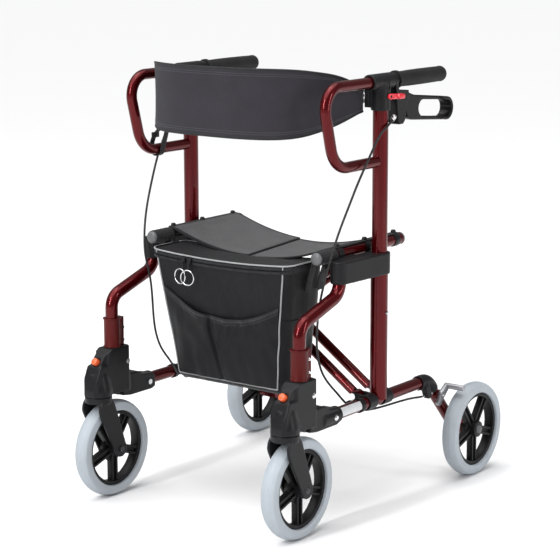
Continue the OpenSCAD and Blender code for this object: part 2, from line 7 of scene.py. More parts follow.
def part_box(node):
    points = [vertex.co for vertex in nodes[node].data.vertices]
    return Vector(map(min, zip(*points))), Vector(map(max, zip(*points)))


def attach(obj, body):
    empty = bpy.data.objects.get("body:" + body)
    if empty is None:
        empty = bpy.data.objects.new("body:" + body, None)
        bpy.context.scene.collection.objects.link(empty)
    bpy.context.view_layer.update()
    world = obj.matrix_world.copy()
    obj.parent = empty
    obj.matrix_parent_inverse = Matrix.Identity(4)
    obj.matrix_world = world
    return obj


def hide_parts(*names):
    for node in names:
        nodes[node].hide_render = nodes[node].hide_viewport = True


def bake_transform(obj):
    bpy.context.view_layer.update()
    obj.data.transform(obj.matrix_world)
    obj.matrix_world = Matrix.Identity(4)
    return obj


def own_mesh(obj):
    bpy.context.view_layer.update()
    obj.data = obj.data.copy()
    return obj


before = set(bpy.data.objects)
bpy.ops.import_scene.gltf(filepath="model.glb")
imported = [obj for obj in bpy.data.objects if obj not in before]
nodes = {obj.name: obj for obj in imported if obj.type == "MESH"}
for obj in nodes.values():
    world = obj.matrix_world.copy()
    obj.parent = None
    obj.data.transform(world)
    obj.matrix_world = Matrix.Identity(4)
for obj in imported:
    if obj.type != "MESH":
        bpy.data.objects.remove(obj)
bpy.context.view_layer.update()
sides = (("left", 1), ("right", -1))
print("frame loaded:", len(nodes), "nodes")


# Small tools


def clearSelection():
    if bpy.context.object and bpy.context.object.mode != "OBJECT":
        bpy.ops.object.mode_set(mode="OBJECT")
    bpy.ops.object.select_all(action="DESELECT")


def activate(piece):
    clearSelection()
    piece.select_set(True)
    bpy.context.view_layer.objects.active = piece


def settle(piece):  # puts the object's place and size into its mesh
    activate(piece)
    bpy.ops.object.transform_apply(location=True, rotation=True, scale=True)


def applyModifiers(piece):
    activate(piece)
    for modifier in list(piece.modifiers):
        bpy.ops.object.modifier_apply(modifier=modifier.name)


def smooth(piece, angle=35):
    activate(piece)
    bpy.ops.object.shade_smooth_by_angle(angle=math.radians(angle))


def weld(piece, distance=0.00002):
    activate(piece)
    bpy.ops.object.mode_set(mode="EDIT")
    bpy.ops.mesh.select_all(action="SELECT")
    bpy.ops.mesh.remove_doubles(threshold=distance)
    bpy.ops.mesh.normals_make_consistent(inside=False)
    bpy.ops.object.mode_set(mode="OBJECT")


def dress(piece, material):
    piece.data.materials.clear()
    piece.data.materials.append(material)


def finishPiece(piece, name, material, body=None, angle=35):
    piece.name = name
    piece.data.name = name
    settle(piece)
    smooth(piece, angle)
    dress(piece, material)
    if body:
        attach(piece, body)
    return piece


def addTo(group, piece, name, material, angle=60):
    group.append(finishPiece(piece, name, material, angle=angle))


def bevel(piece, width, segments=2, angle=35):
    modifier = piece.modifiers.new("edges", "BEVEL")
    modifier.width = width
    modifier.segments = segments
    modifier.limit_method = "ANGLE"
    modifier.angle_limit = math.radians(angle)
    modifier.use_clamp_overlap = False


def copyNode(node):
    mesh = nodes[node].data.copy()
    piece = bpy.data.objects.new(node + "Look", mesh)
    bpy.context.scene.collection.objects.link(piece)
    activate(piece)
    bpy.ops.object.mode_set(mode="EDIT")
    bpy.ops.mesh.select_all(action="SELECT")
    bpy.ops.mesh.remove_doubles(threshold=0.00002)
    bpy.ops.object.mode_set(mode="OBJECT")
    bpy.ops.mesh.customdata_custom_splitnormals_clear()
    return piece


# A casting: the CAD solid with its edges melted round
def castNode(node, name, material, body, voxel=0.0014, rounds=6):
    piece = copyNode(node)
    remesh = piece.modifiers.new("skin", "REMESH")
    remesh.mode = "VOXEL"
    remesh.voxel_size = voxel
    soften = piece.modifiers.new("soften", "SMOOTH")
    soften.factor = 0.6
    soften.iterations = rounds
    applyModifiers(piece)
    finishPiece(piece, name, material, body, angle=60)
    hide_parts(node)
    return piece


# A crisp piece: the CAD solid with small bevelled edges
def edgeNode(node, name, material, body, width=0.0006, shrink=0.0):
    piece = copyNode(node)
    activate(piece)
    bpy.ops.object.mode_set(mode="EDIT")
    bpy.ops.mesh.select_all(action="SELECT")
    bpy.ops.mesh.dissolve_limited(angle_limit=math.radians(0.4))
    bpy.ops.object.mode_set(mode="OBJECT")
    if shrink:
        play = piece.modifiers.new("play", "DISPLACE")
        play.strength = -shrink
        play.mid_level = 0.0
    bevel(piece, width)
    applyModifiers(piece)
    finishPiece(piece, name, material, body)
    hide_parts(node)
    return piece


# A sheet: a grid whose points are put in place by place(u, v), with UVs in metres
def sheetPiece(name, columns, rows, size, place):
    clearSelection()
    bpy.ops.mesh.primitive_grid_add(
        x_subdivisions=columns, y_subdivisions=rows, size=1, calc_uvs=True
    )
    piece = bpy.context.object
    piece.name = name
    piece.data.name = name
    for vertex in piece.data.vertices:
        vertex.co = place(vertex.co.x + 0.5, vertex.co.y + 0.5)
    for loop in piece.data.uv_layers[0].data:
        loop.uv = (loop.uv[0] * size[0], loop.uv[1] * size[1])
    return piece


def thicken(piece, thickness, offset=0.0, edge=0.0):
    modifier = piece.modifiers.new("wall", "SOLIDIFY")
    modifier.thickness = thickness
    modifier.offset = offset
    if edge:
        bevel(piece, edge, segments=2, angle=50)
    applyModifiers(piece)


# A round bar along smooth points, made as a bevelled curve and then turned into a mesh
def pipe(name, points, radius, sides=8, closed=False, detail=6):
    curve = bpy.data.curves.new(name, "CURVE")
    curve.dimensions = "3D"
    curve.bevel_depth = radius
    curve.bevel_resolution = max(1, sides // 4)
    curve.resolution_u = detail
    curve.use_fill_caps = not closed
    spline = curve.splines.new("NURBS")
    spline.points.add(len(points) - 1)
    for point, co in zip(spline.points, points):
        point.co = (*co, 1)
    spline.order_u = 3
    spline.use_endpoint_u = not closed
    spline.use_cyclic_u = closed
    piece = bpy.data.objects.new(name, curve)
    bpy.context.scene.collection.objects.link(piece)
    activate(piece)
    bpy.ops.object.convert(target="MESH")
    return bpy.context.object


# A piece turned round an axis: outline points are (distance from the axis, place along it)
def turned(name, outline, centre, axis, steps=48):
    mesh = bpy.data.meshes.new(name)
    along = Vector(axis).normalized()
    across = along.orthogonal().normalized()
    points = [Vector(centre) + across * r + along * a for r, a in outline]
    mesh.from_pydata(points, [(i, i + 1) for i in range(len(points) - 1)], [])
    piece = bpy.data.objects.new(name, mesh)
    bpy.context.scene.collection.objects.link(piece)
    activate(piece)
    bpy.ops.object.mode_set(mode="EDIT")
    bpy.ops.mesh.select_all(action="SELECT")
    bpy.ops.mesh.spin(
        steps=steps, angle=math.tau, center=tuple(centre), axis=tuple(along)
    )
    bpy.ops.mesh.select_all(action="SELECT")
    bpy.ops.mesh.remove_doubles(threshold=0.00001)
    bpy.ops.mesh.normals_make_consistent(inside=False)
    bpy.ops.object.mode_set(mode="OBJECT")
    return piece


def block(name, low, high, edge=0.001, segments=2):
    clearSelection()
    low, high = Vector(low), Vector(high)
    bpy.ops.mesh.primitive_cube_add(size=1, location=(low + high) / 2, scale=high - low)
    piece = bpy.context.object
    piece.name = name
    settle(piece)
    bevel(piece, edge, segments)
    applyModifiers(piece)
    return piece


def join(pieces, name):
    clearSelection()
    for piece in pieces:
        piece.select_set(True)
    bpy.context.view_layer.objects.active = pieces[0]
    if len(pieces) > 1:
        bpy.ops.object.join()
    pieces[0].name = name
    pieces[0].data.name = name
    return pieces[0]


# One stitch is modelled once, and its points are repeated along the row
def stitchRow(name, points, outward, pitch=0.0042, length=0.003, radius=0.00045):
    clearSelection()
    bpy.ops.mesh.primitive_ico_sphere_add(subdivisions=1, radius=1)
    seed = bpy.context.object
    shape = [v.co.copy() for v in seed.data.vertices]
    faces = [tuple(p.vertices) for p in seed.data.polygons]
    bpy.data.objects.remove(seed)
    spots, travelled, due = [], 0.0, pitch / 2
    for index in range(len(points) - 1):
        start, end = Vector(points[index]), Vector(points[index + 1])
        run = (end - start).length
        while due < travelled + run:
            spots.append(
                (start.lerp(end, (due - travelled) / run), (end - start) / run, index)
            )
            due += pitch
        travelled += run
    verts, polys = [], []
    for centre, direction, index in spots:
        up = Vector(outward[index] if isinstance(outward, list) else outward).normalized()
        cross = direction.cross(up).normalized()
        base = len(verts)
        for p in shape:
            verts.append(
                centre
                + direction * p.x * length / 2
                + cross * p.y * radius
                + up * p.z * radius
            )
        polys += [tuple(base + i for i in face) for face in faces]
    mesh = bpy.data.meshes.new(name)
    mesh.from_pydata(verts, [], polys)
    piece = bpy.data.objects.new(name, mesh)
    bpy.context.scene.collection.objects.link(piece)
    return piece


def ease(t):
    t = min(1.0, max(0.0, t))
    return t * t * (3 - 2 * t)


# Finishes


def addSockets(group, inputs, outputs):
    for name, kind, value in inputs:
        socket = group.interface.new_socket(name, in_out="INPUT", socket_type=kind)
        if value is not None:
            socket.default_value = value
    for name, kind in outputs:
        group.interface.new_socket(name, in_out="OUTPUT", socket_type=kind)


def makeMath(tree, operation, a, b=None, c=None):
    node = tree.nodes.new("ShaderNodeMath")
    node.operation = operation
    for socket, value in zip(node.inputs, (a, b, c)):
        if value is None:
            continue
        if isinstance(value, (int, float)):
            socket.default_value = value
        else:
            tree.links.new(value, socket)
    return node.outputs[0]


def makeMix(tree, factor, a, b):
    node = tree.nodes.new("ShaderNodeMix")
    node.data_type = "RGBA"
    for socket, value in ((node.inputs[0], factor), (node.inputs[6], a), (node.inputs[7], b)):
        if isinstance(value, (int, float)):
            socket.default_value = value
        elif isinstance(value, tuple):
            socket.default_value = (*value, 1)
        else:
            tree.links.new(value, socket)
    return node.outputs[2]


def makeNoise(tree, vector, scale, detail=3.0, roughness=0.5):
    node = tree.nodes.new("ShaderNodeTexNoise")
    node.inputs["Detail"].default_value = detail
    node.inputs["Roughness"].default_value = roughness
    if isinstance(scale, (int, float)):
        node.inputs["Scale"].default_value = scale
    else:
        tree.links.new(scale, node.inputs["Scale"])
    tree.links.new(vector, node.inputs["Vector"])
    return node.outputs["Fac"]


# Grain, patches of wear and fine dust for every hard surface
def makeFinishGroup():
    group = bpy.data.node_groups.new("finishWear", "ShaderNodeTree")
    addSockets(
        group,
        [
            ("Vector", "NodeSocketVector", None),
            ("Colour", "NodeSocketColor", (0.5, 0.5, 0.5, 1)),
            ("Worn", "NodeSocketColor", (0.6, 0.6, 0.6, 1)),
            ("Wear", "NodeSocketFloat", 0.2),
            ("Patch", "NodeSocketFloat", 14.0),
            ("Grain", "NodeSocketFloat", 900.0),
            ("Roughness", "NodeSocketFloat", 0.4),
            ("Spread", "NodeSocketFloat", 0.1),
        ],
        [
            ("Colour", "NodeSocketColor"),
            ("Roughness", "NodeSocketFloat"),
            ("Height", "NodeSocketFloat"),
        ],
    )
    source = group.nodes.new("NodeGroupInput")
    target = group.nodes.new("NodeGroupOutput")
    vector = source.outputs["Vector"]
    patches = makeNoise(group, vector, source.outputs["Patch"], 5.0, 0.6)
    grain = makeNoise(group, vector, source.outputs["Grain"], 2.0)
    mask = makeMath(group, "SUBTRACT", patches, 0.42)
    mask = makeMath(group, "MULTIPLY", mask, 3.0)
    mask = makeMath(group, "MULTIPLY", mask, source.outputs["Wear"])
    speck = makeMath(group, "MULTIPLY", source.outputs["Wear"], 0.5)
    speck = makeMath(group, "MULTIPLY", grain, speck)
    mask = makeMath(group, "ADD", mask, speck)
    clamp = group.nodes.new("ShaderNodeClamp")
    group.links.new(mask, clamp.inputs[0])
    colour = makeMix(group, clamp.outputs[0], source.outputs["Colour"], source.outputs["Worn"])
    shift = makeMath(group, "SUBTRACT", patches, 0.5)
    rough = makeMath(
        group, "MULTIPLY_ADD", shift, source.outputs["Spread"], source.outputs["Roughness"]
    )
    group.links.new(colour, target.inputs["Colour"])
    group.links.new(rough, target.inputs["Roughness"])
    group.links.new(grain, target.inputs["Height"])
    return group


# Plain weave: threads cross over and under. The colour is painted darker where the threads dip, as
# painted shade that makes a dark gap at each corner, plus random patches and yarn tone
def makeWeaveGroup():
    group = bpy.data.node_groups.new("clothWeave", "ShaderNodeTree")
    addSockets(
        group,
        [
            ("Vector", "NodeSocketVector", None),
            ("Threads", "NodeSocketFloat", 900.0),
            ("Dark", "NodeSocketColor", (0.02, 0.02, 0.02, 1)),
            ("Light", "NodeSocketColor", (0.1, 0.1, 0.1, 1)),
            ("Fade", "NodeSocketFloat", 0.25),
        ],
        [("Colour", "NodeSocketColor"), ("Height", "NodeSocketFloat"), ("Gap", "NodeSocketFloat")],
    )
    source = group.nodes.new("NodeGroupInput")
    target = group.nodes.new("NodeGroupOutput")
    split = group.nodes.new("ShaderNodeSeparateXYZ")
    group.links.new(source.outputs["Vector"], split.inputs[0])
    u = makeMath(group, "MULTIPLY", split.outputs[0], source.outputs["Threads"])
    v = makeMath(group, "MULTIPLY", split.outputs[1], source.outputs["Threads"])
    warp = makeMath(group, "SINE", makeMath(group, "MULTIPLY", u, math.pi))
    warp = makeMath(group, "ABSOLUTE", warp)
    weft = makeMath(group, "SINE", makeMath(group, "MULTIPLY", v, math.pi))
    weft = makeMath(group, "ABSOLUTE", weft)
    cells = makeMath(group, "ADD", makeMath(group, "FLOOR", u), makeMath(group, "FLOOR", v))
    over = makeMath(group, "FLOORED_MODULO", cells, 2.0)
    rise = makeMath(group, "SUBTRACT", warp, weft)
    height = makeMath(group, "MULTIPLY_ADD", rise, over, weft)
    gap = makeMath(group, "MINIMUM", warp, weft)
    gap = makeMath(group, "SUBTRACT", 1.0, makeMath(group, "MULTIPLY", gap, 2.2))
    clamp = group.nodes.new("ShaderNodeClamp")
    group.links.new(gap, clamp.inputs[0])
    patches = makeNoise(group, source.outputs["Vector"], 26.0, 5.0, 0.62)
    yarn = makeNoise(group, source.outputs["Vector"], 420.0, 2.0)
    patches = makeMath(group, "SUBTRACT", patches, 0.5)
    toneAndShade = makeMath(group, "MULTIPLY", patches, source.outputs["Fade"])
    # painted shade: the thread height makes the low parts of the weave darker and the raised
    # threads lighter
    toneAndShade = makeMath(group, "ADD", toneAndShade, makeMath(group, "MULTIPLY", height, 0.55))
    yarn = makeMath(group, "MULTIPLY", makeMath(group, "SUBTRACT", yarn, 0.5), 0.5)
    toneAndShade = makeMath(group, "ADD", toneAndShade, yarn)
    toneAndShadeClamp = group.nodes.new("ShaderNodeClamp")
    group.links.new(toneAndShade, toneAndShadeClamp.inputs[0])
    colour = makeMix(group, toneAndShadeClamp.outputs[0], source.outputs["Dark"], source.outputs["Light"])
    group.links.new(colour, target.inputs["Colour"])
    group.links.new(height, target.inputs["Height"])
    group.links.new(clamp.outputs[0], target.inputs["Gap"])
    return group


finishGroup = makeFinishGroup()
weaveGroup = makeWeaveGroup()


def startMaterial(name, settings):
    material = bpy.data.materials.new(name)
    material.use_nodes = True
    tree = material.node_tree
    shader = tree.nodes["Principled BSDF"]
    for socket, value in settings.items():
        shader.inputs[socket].default_value = value
    return material, tree, shader


def addBump(tree, shader, height, strength, distance):
    bump = tree.nodes.new("ShaderNodeBump")
    bump.inputs["Strength"].default_value = strength
    bump.inputs["Distance"].default_value = distance
    tree.links.new(height, bump.inputs["Height"])
    tree.links.new(bump.outputs["Normal"], shader.inputs["Normal"])


def hardMaterial(name, colour, worn, wear, patch, grain, roughness, spread, bump, shaderValues):
    material, tree, shader = startMaterial(name, shaderValues)
    place = tree.nodes.new("ShaderNodeTexCoord")
    finish = tree.nodes.new("ShaderNodeGroup")
    finish.node_tree = finishGroup
    tree.links.new(place.outputs["Object"], finish.inputs["Vector"])
    finish.inputs["Colour"].default_value = (*colour, 1)
    finish.inputs["Worn"].default_value = (*worn, 1)
    for socket, value in (
        ("Wear", wear),
        ("Patch", patch),
        ("Grain", grain),
        ("Roughness", roughness),
        ("Spread", spread),
    ):
        finish.inputs[socket].default_value = value
    tree.links.new(finish.outputs["Colour"], shader.inputs["Base Color"])
    tree.links.new(finish.outputs["Roughness"], shader.inputs["Roughness"])
    addBump(tree, shader, finish.outputs["Height"], bump, 0.0002)
    return material


def clothMaterial(name, dark, light, threads, fade, bump, distance, shaderValues, mapped=True):
    material, tree, shader = startMaterial(name, shaderValues)
    place = tree.nodes.new("ShaderNodeTexCoord")
    weave = tree.nodes.new("ShaderNodeGroup")
    weave.node_tree = weaveGroup
    tree.links.new(place.outputs["UV" if mapped else "Object"], weave.inputs["Vector"])
    weave.inputs["Threads"].default_value = threads
    weave.inputs["Dark"].default_value = (*dark, 1)
    weave.inputs["Light"].default_value = (*light, 1)
    weave.inputs["Fade"].default_value = fade
    tree.links.new(weave.outputs["Colour"], shader.inputs["Base Color"])
    addBump(tree, shader, weave.outputs["Height"], bump, distance)
    return material


candyRed = hardMaterial(
    "candyRed", (0.082, 0.0014, 0.003), (0.118, 0.0025, 0.005), 0.35, 18, 1500, 0.26, 0.08, 0.05,
    {"Metallic": 0.7, "Specular IOR Level": 0.1, "Coat Weight": 0.32, "Coat Roughness": 0.03},
)
sleeveRed = hardMaterial(
    "sleeveRed", (0.075, 0.005, 0.005), (0.10, 0.009, 0.009), 0.4, 22, 1200, 0.42, 0.12, 0.12,
    {"Metallic": 0.25, "Specular IOR Level": 0.2},
)
satinBlack = hardMaterial(
    "satinBlack", (0.008, 0.008, 0.009), (0.021, 0.021, 0.023), 0.35, 16, 1100, 0.36, 0.16, 0.35,
    {"Specular IOR Level": 0.17},
)
leverBlack = hardMaterial(
    "leverBlack", (0.007, 0.007, 0.008), (0.018, 0.018, 0.019), 0.3, 20, 800, 0.27, 0.12, 0.12,
    {"Specular IOR Level": 0.17},
)
gripRubber = hardMaterial(
    "gripRubber", (0.009, 0.009, 0.010), (0.022, 0.022, 0.023), 0.45, 24, 1600, 0.62, 0.14, 0.5,
    {"Specular IOR Level": 0.2},
)
tyreRubber = hardMaterial(
    "tyreRubber", (0.40, 0.44, 0.48), (0.32, 0.345, 0.37), 0.4, 20, 700, 0.55, 0.12, 0.3,
    {"Specular IOR Level": 0.4},
)
rimBlack = hardMaterial(
    "rimBlack", (0.007, 0.007, 0.008), (0.02, 0.02, 0.021), 0.35, 18, 900, 0.4, 0.14, 0.25,
    {"Specular IOR Level": 0.17},
)
chromeSteel = hardMaterial(
    "chromeSteel", (0.72, 0.72, 0.74), (0.5, 0.49, 0.47), 0.3, 60, 600, 0.16, 0.14, 0.05,
    {"Metallic": 1.0},
)
brushedSteel = hardMaterial(
    "brushedSteel", (0.34, 0.34, 0.36), (0.24, 0.24, 0.25), 0.4, 40, 900, 0.42, 0.16, 0.2,
    {"Metallic": 0.85},
)
orangePlastic = hardMaterial(
    "orangePlastic", (0.72, 0.10, 0.025), (0.78, 0.17, 0.06), 0.35, 30, 900, 0.34, 0.1, 0.1,
    {"Coat Weight": 0.3},
)
latchRed = hardMaterial(
    "latchRed", (0.66, 0.012, 0.03), (0.72, 0.05, 0.06), 0.3, 40, 900, 0.25, 0.1, 0.08,
    {"Coat Weight": 0.5},
)
capGrey = hardMaterial(
    "capGrey", (0.085, 0.087, 0.09), (0.14, 0.143, 0.148), 0.4, 40, 1200, 0.42, 0.12, 0.2, {}
)
labelPale = hardMaterial(
    "labelPale", (0.62, 0.64, 0.66), (0.5, 0.5, 0.5), 0.35, 60, 1400, 0.35, 0.1, 0.05,
    {"Coat Weight": 0.4},
)
boltSteel = hardMaterial(
    "boltSteel", (0.045, 0.045, 0.05), (0.12, 0.12, 0.125), 0.4, 60, 900, 0.34, 0.14, 0.1,
    {"Metallic": 0.85},
)
threadBlack = hardMaterial(
    "threadBlack", (0.03, 0.03, 0.032), (0.07, 0.07, 0.075), 0.5, 200, 3000, 0.6, 0.1, 0.3,
    {"Sheen Weight": 0.3},
)
threadGrey = hardMaterial(
    "threadGrey", (0.05, 0.05, 0.054), (0.11, 0.11, 0.116), 0.5, 200, 3000, 0.6, 0.1, 0.3,
    {"Sheen Weight": 0.3},
)
cableSheath = hardMaterial(
    "cableSheath", (0.014, 0.014, 0.015), (0.035, 0.035, 0.037), 0.4, 30, 1800, 0.4, 0.12, 0.2,
    {"Specular IOR Level": 0.25},
)
reflectiveGrey = hardMaterial(
    "reflectiveGrey", (0.25, 0.255, 0.26), (0.34, 0.345, 0.35), 0.5, 60, 2600, 0.5, 0.12, 0.4,
    {"Metallic": 0.1},
)
# each cloth's dark colour is partly its thread colour and partly painted shade in the dips and gaps
# of the weave
seatMesh = clothMaterial(
    "seatMesh", (0.014, 0.014, 0.015), (0.19, 0.19, 0.196), 620, 0.3, 0.7, 0.0005,
    {"Roughness": 0.6, "Specular IOR Level": 0.25, "Sheen Weight": 0.06},
)
bagNylon = clothMaterial(
    "bagNylon", (0.0025, 0.0025, 0.0032), (0.0105, 0.0105, 0.0125), 1100, 0.5, 0.45, 0.0003,
    {"Roughness": 0.42, "Specular IOR Level": 0.17, "Sheen Weight": 0.03},
)
bandFabric = clothMaterial(
    "bandFabric", (0.013, 0.012, 0.0155), (0.050, 0.047, 0.057), 900, 0.35, 0.5, 0.0004,
    {"Roughness": 0.7, "Specular IOR Level": 0.15, "Sheen Weight": 0.05},
)
webbing = clothMaterial(
    "webbing", (0.006, 0.006, 0.007), (0.032, 0.032, 0.035), 520, 0.35, 0.8, 0.0006,
    {"Roughness": 0.6, "Specular IOR Level": 0.2, "Sheen Weight": 0.05}, mapped=False,
)
print("finishes made")

# The metal frame: CAD nodes that keep their own meshes

nodeFinish = {
    "side_frame": candyRed,
    "rear_leg": candyRed,
    "front_leg": candyRed,
    "handle_tube": candyRed,
    "arm_loop": candyRed,
    "frame_bolts": chromeSteel,
    "height_button": chromeSteel,
    "caster_axle": boltSteel,
    "brake_spring": chromeSteel,
}
for side, sign in sides:
    for part, finish in nodeFinish.items():
        nodes[f"{side}_{part}"].data.materials.clear()
        nodes[f"{side}_{part}"].data.materials.append(finish)
for node, finish in (("brace_a", candyRed), ("brace_b", candyRed), ("brace_bolts", chromeSteel)):
    nodes[node].data.materials.clear()
    nodes[node].data.materials.append(finish)

# Castings and moulded plastic

castings = {  # node: finish, slot, body, voxel, softening rounds
    "seat_clamp": (satinBlack, "black_plastic", "frame", 0.0015, 9),
    "caster_housing": (satinBlack, "black_plastic", "frame", 0.0015, 9),
    "rail_elbow": (satinBlack, "black_plastic", "frame", 0.0012, 5),
    "pivot_lugs": (satinBlack, "black_plastic", "frame", 0.0011, 4),
    "handle_head": (satinBlack, "black_plastic", "handle", 0.0011, 5),
    "lever_housing": (leverBlack, "black_plastic", "handle", 0.0011, 5),
    "brake_lever": (leverBlack, "lever_black", "lever", 0.0012, 9),
    "caster_fork": (satinBlack, "black_plastic", "fork", 0.0012, 5),
}
crisp = {  # node: finish, slot, body, bevel width, play taken off all round
    "leg_sleeve": (sleeveRed, "sleeve_red", "frame", 0.0006, 0),
    "caster_button": (orangePlastic, "orange_plastic", "caster_button", 0.0008, 0.0007),
    "lock_latch": (latchRed, "red_plastic", "latch", 0.0012, 0),
    "brake_arm": (brushedSteel, "brake_steel", "brake", 0.0008, 0),
    "caster_rim": (rimBlack, "rim_black", "caster_wheel", 0.0008, 0),
    "rear_rim": (rimBlack, "rim_black", "rear_wheel", 0.0008, 0),
}
for side, sign in sides:
    for part, (finish, slotName, body, voxel, rounds) in castings.items():
        title = f"{side}_{part}"
        castNode(title, f"{title}_cast", finish, f"{side}_{body}", voxel, rounds)
    for part, (finish, slotName, body, width, play) in crisp.items():
        title = f"{side}_{part}"
        edgeNode(title, f"{title}_part", finish, f"{side}_{body}", width, play)
print("castings made")

# Tyres

tyre = {
    "grooves": 9, "grooveDepth": 0.0007, "grooveWidth": 0.0009,
    "shoulder": 0.0022,
    "crown": 0.025,  # radius across the tread
    "wall": 0.0125,
}


def tyreOutline(outer, inner, half):
    crown = tyre["crown"]
    outline = [(inner + 0.0004, -half + 0.0016), (inner + 0.0016, -half + 0.0002)]
    outline += [(inner + 0.005, -half), (inner + tyre["wall"], -half)]
    spread = half - tyre["shoulder"]
    stops = [-spread + 2 * spread * i / (tyre["grooves"] - 1) for i in range(tyre["grooves"])]
    tread = []
    for stop in stops:
        for step, depth in ((-1, 0), (-0.5, 1), (0.5, 1), (1, 0)):
            along = stop + step * tyre["grooveWidth"]
            radius = outer - crown + math.sqrt(crown**2 - along**2)
            tread.append((radius - depth * tyre["grooveDepth"], along))
    outline += tread
    outline += [(inner + tyre["wall"], half), (inner + 0.005, half)]
    outline += [(inner + 0.0016, half - 0.0002), (inner + 0.0004, half - 0.0016)]
    outline.append(outline[0])
    return outline


for side, sign in sides:
    for wheel in ("caster", "rear"):
        low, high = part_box(f"{side}_{wheel}_tyre")
        middle = (low + high) / 2
        outer, half = (high.z - low.z) / 2, (high.x - low.x) / 2
        rimLow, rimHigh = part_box(f"{side}_{wheel}_rim")
        inner = (rimHigh.z - rimLow.z) / 2
        piece = turned("tyre", tyreOutline(outer, inner, half), middle, (1, 0, 0), 120)
        title, body = f"{side}_{wheel}_tyre_tread", f"{side}_{wheel}_wheel"
        finishPiece(piece, title, tyreRubber, body, 50)
        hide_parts(f"{side}_{wheel}_tyre")
        if wheel == "rear":  # domed cap over the axle bolt's nut
            outline = [
                (0.0001, 0.006), (0.004, 0.0055), (0.0085, 0.003), (0.0095, 0), (0.0095, -0.003),
            ]
            face = rimHigh.x if sign > 0 else rimLow.x
            cap = turned("cap", outline, (face, middle.y, middle.z), (sign, 0, 0), 32)
            finishPiece(cap, f"{side}_hub_cap", capGrey, f"{side}_rear_wheel", 50)
print("wheels made")

# Grips

grip = {"bore": 0.0111, "collar": 0.018, "waist": 0.0152, "belly": 0.0160, "end": 0.0158}
for side, sign in sides:
    low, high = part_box(f"{side}_grip")
    middle = (low + high) / 2
    length = high.y - low.y
    collar, waist, end = grip["collar"], grip["waist"], grip["end"]
    outline = [
        (grip["bore"], 0.0), (0.0172, 0.0), (collar, 0.0008), (collar, 0.0062), (0.0172, 0.0072),
        (0.0154, 0.0082), (waist, 0.02), (end, 0.05), (grip["belly"], 0.09), (end, 0.13),
        (0.0154, length - 0.014), (end, length - 0.008), (end, length - 0.004),
        (0.0148, length - 0.0012), (0.0128, length - 0.0001),
        (0.006, length), (0.0001, length - 0.0004),
    ]
    piece = turned("grip", outline, (middle.x, low.y, middle.z), (0, 1, 0), 64)
    finishPiece(piece, f"{side}_grip_sleeve", gripRubber, f"{side}_handle", 40)
    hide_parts(f"{side}_grip")
print("grips made")

# Brake cables

cable = {"uprightX": 0.24, "held": 0.5, "moved": 0.78}  # heights where frame and handle take hold
for side, sign in sides:
    piece = copyNode(f"{side}_brake_cable")
    activate(piece)
    bpy.ops.object.mode_set(mode="EDIT")
    bpy.ops.mesh.select_all(action="SELECT")
    bpy.ops.mesh.tris_convert_to_quads(
        face_threshold=math.radians(60), shape_threshold=math.radians(90)
    )
    bpy.ops.object.mode_set(mode="OBJECT")
    subdivide = piece.modifiers.new("round", "SUBSURF")
    subdivide.levels = 2
    subdivide.render_levels = 2
    applyModifiers(piece)
    finishPiece(piece, f"{side}_cable_sheath", cableSheath, angle=80)
    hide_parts(f"{side}_brake_cable")
    x = sign * cable["uprightX"]
    start, end = (x, 0, cable["held"]), (x, 0, cable["moved"])
    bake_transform(piece)
    points = [v.co.copy() for v in piece.data.vertices]  # chrome barrel under the lever housing
    tip = max(points, key=lambda point: point.z)
    ends = [point for point in points if (point - tip).length < 0.006]
    top = sum(ends, Vector()) / len(ends)
    near = [point for point in points if 0.010 < (point - top).length < 0.016]
    way = (sum(near, Vector()) / len(near) - top).normalized()
    barrel = turned(
        "barrel",
        [(0.0026, 0.0), (0.0046, 0.0), (0.0046, 0.006), (0.0038, 0.0068), (0.0038, 0.012),
         (0.0032, 0.0135), (0.0026, 0.0135), (0.0026, 0.0)],
        top, way, 24,
    )
    finishPiece(barrel, f"{side}_cable_adjuster", chromeSteel, f"{side}_handle", 50)
print("cables made")

# plain pale label wrapped on the outer face of the lower rail
label = {"y": (-0.185, -0.085), "x": 0.240, "z": 0.220, "radius": 0.0128, "from": -22, "to": 62}


def labelPoint(u, v):
    angle = math.radians(label["from"] + (label["to"] - label["from"]) * v)
    x = label["x"] + label["radius"] * math.cos(angle)
    y = label["y"][0] + (label["y"][1] - label["y"][0]) * u
    z = label["z"] + label["radius"] * math.sin(angle)
    return Vector((x, y, z))


sticker = sheetPiece("label", 24, 12, (0.08, 0.02), labelPoint)
thicken(sticker, 0.0002, 1.0)
finishPiece(sticker, "left_rail_label", labelPale, "left_frame")

# Seat sling

seatRail = {"x": 0.207, "z": 0.526, "r": 0.012}
seat = {
    "front": -0.118,
    "rear": 0.098,
    "sag": 0.027,
    "rise": 0.033,  # how much higher the cloth stands at the rails than in the middle
    "span": 0.182,
    "thickness": 0.0016,
    "lap": 0.0026,  # height of the upper panel over the lower one
    "lapFront": -0.005,
    "lapRear": -0.035,
    "clips": (-0.109, -0.014, 0.090),
}


def slingHeight(x):  # the cloth sags in a curve between the rails
    reach = min(1.04, abs(x) / seat["span"])
    return seatRail["z"] - seat["sag"] + seat["rise"] * reach**2


def slingPoint(u, v, lift=0.0):
    half = seatRail["x"] + 0.004
    x = -half + 2 * half * u
    y = seat["front"] + (seat["rear"] - seat["front"]) * v
    z = slingHeight(x) - 0.0008 * noise.noise(Vector((x * 9, y * 14, 0.3)))
    across = abs(x) - (seatRail["x"] - seatRail["r"] - 0.004)
    if across > 0:  # the cloth climbs onto the rail
        top = seatRail["z"] + seatRail["r"] + 0.0012
        z = z + (top - z) * ease(across / 0.014)
    return Vector((x, y, z + lift))


